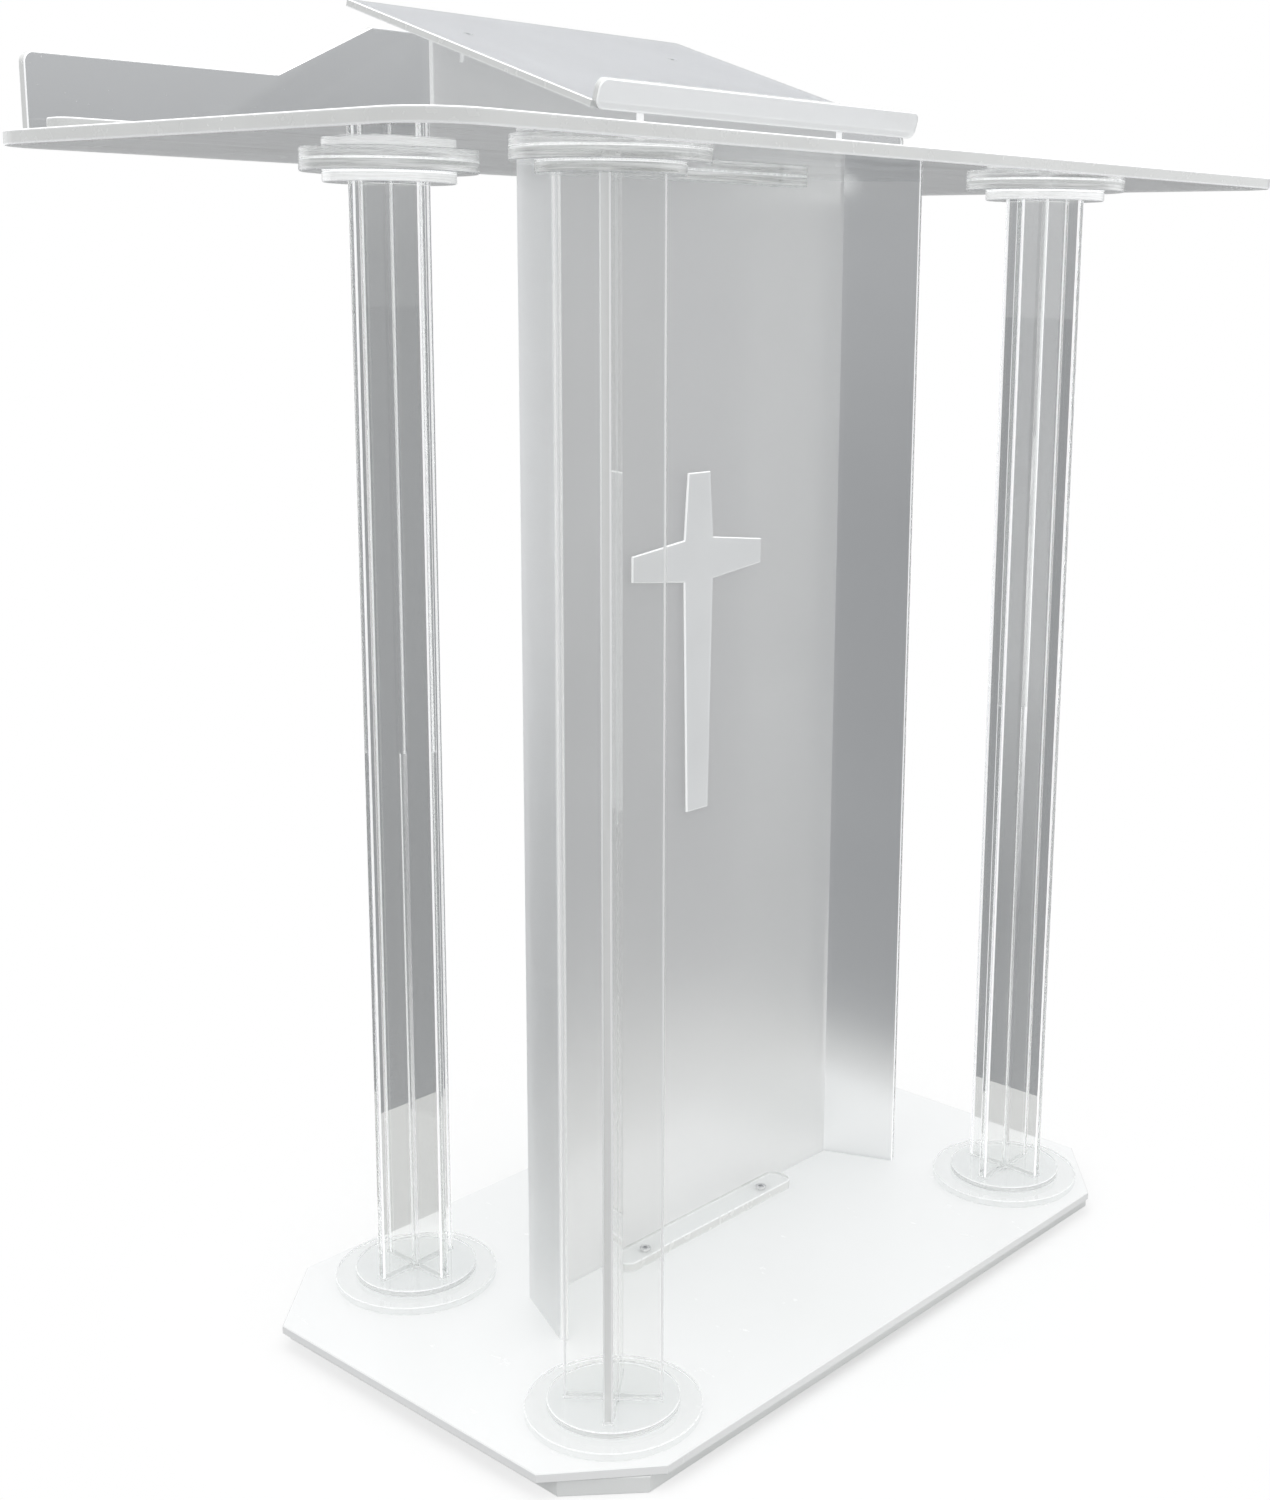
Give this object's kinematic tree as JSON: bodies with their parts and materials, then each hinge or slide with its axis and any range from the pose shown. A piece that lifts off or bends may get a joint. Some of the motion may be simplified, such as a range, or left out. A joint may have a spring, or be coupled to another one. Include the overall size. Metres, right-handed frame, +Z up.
{
  "type": "presentation lectern",
  "caption": "Clear acrylic lectern: frosted flared body with a cross emblem, interlocked-blade columns, wide top plate with guard, and a sloping reading desk with book stop.",
  "frame": {"origin": "on the floor, under the middle of the top plate", "axes": "+Z up, +Y from the reader towards the audience, +X to the reader's right"},
  "size_m": [1.048, 0.494, 1.1107],
  "materials": {
    "clear_acrylic": "clear polished acrylic sheet with bright edges",
    "frosted_acrylic": "frosted acrylic sheet",
    "emblem_acrylic": "pale acrylic with a bright bevelled edge",
    "base_plate": "polished white acrylic",
    "base_plinth": "satin pale grey acrylic",
    "dowel_plastic": "pale acrylic rod",
    "screw_steel": "stainless steel"
  },
  "bodies": {
    "root": {"base_plate": "base_plate", "base_plinth": "base_plinth", "blade_a_audience_left": "clear_acrylic", "blade_a_audience_right": "clear_acrylic", "blade_a_reader_left": "clear_acrylic", "blade_a_reader_right": "clear_acrylic", "blade_b_audience_left": "clear_acrylic", "blade_b_audience_right": "clear_acrylic", "blade_b_reader_left": "clear_acrylic", "blade_b_reader_right": "clear_acrylic", "book_stop": "clear_acrylic", "collar_dowels": "dowel_plastic", "collar_slotted_disc_audience_left": "clear_acrylic", "collar_slotted_disc_audience_right": "clear_acrylic", "collar_slotted_disc_reader_left": "clear_acrylic", "collar_slotted_disc_reader_right": "clear_acrylic", "collar_wide_disc_audience_left": "clear_acrylic", "collar_wide_disc_audience_right": "clear_acrylic", "collar_wide_disc_reader_left": "clear_acrylic", "collar_wide_disc_reader_right": "clear_acrylic", "cross_emblem": "emblem_acrylic", "desk_screws": "screw_steel", "desk_support_left": "clear_acrylic", "desk_support_right": "clear_acrylic", "foot_bar": "clear_acrylic", "foot_bar_screws": "screw_steel", "foot_dowels": "dowel_plastic", "foot_slotted_disc_audience_left": "clear_acrylic", "foot_slotted_disc_audience_right": "clear_acrylic", "foot_slotted_disc_reader_left": "clear_acrylic", "foot_slotted_disc_reader_right": "clear_acrylic", "foot_wide_disc_audience_left": "clear_acrylic", "foot_wide_disc_audience_right": "clear_acrylic", "foot_wide_disc_reader_left": "clear_acrylic", "foot_wide_disc_reader_right": "clear_acrylic", "guard_bar_left": "clear_acrylic", "guard_bar_right": "clear_acrylic", "guard_bar_screws": "screw_steel", "guard_panel": "clear_acrylic", "head_bar": "clear_acrylic", "head_bar_screws": "screw_steel", "main_panel": "frosted_acrylic", "reading_surface": "clear_acrylic", "top_plate": "clear_acrylic", "wing_left": "frosted_acrylic", "wing_right": "frosted_acrylic"}
  },
  "joints": []
}
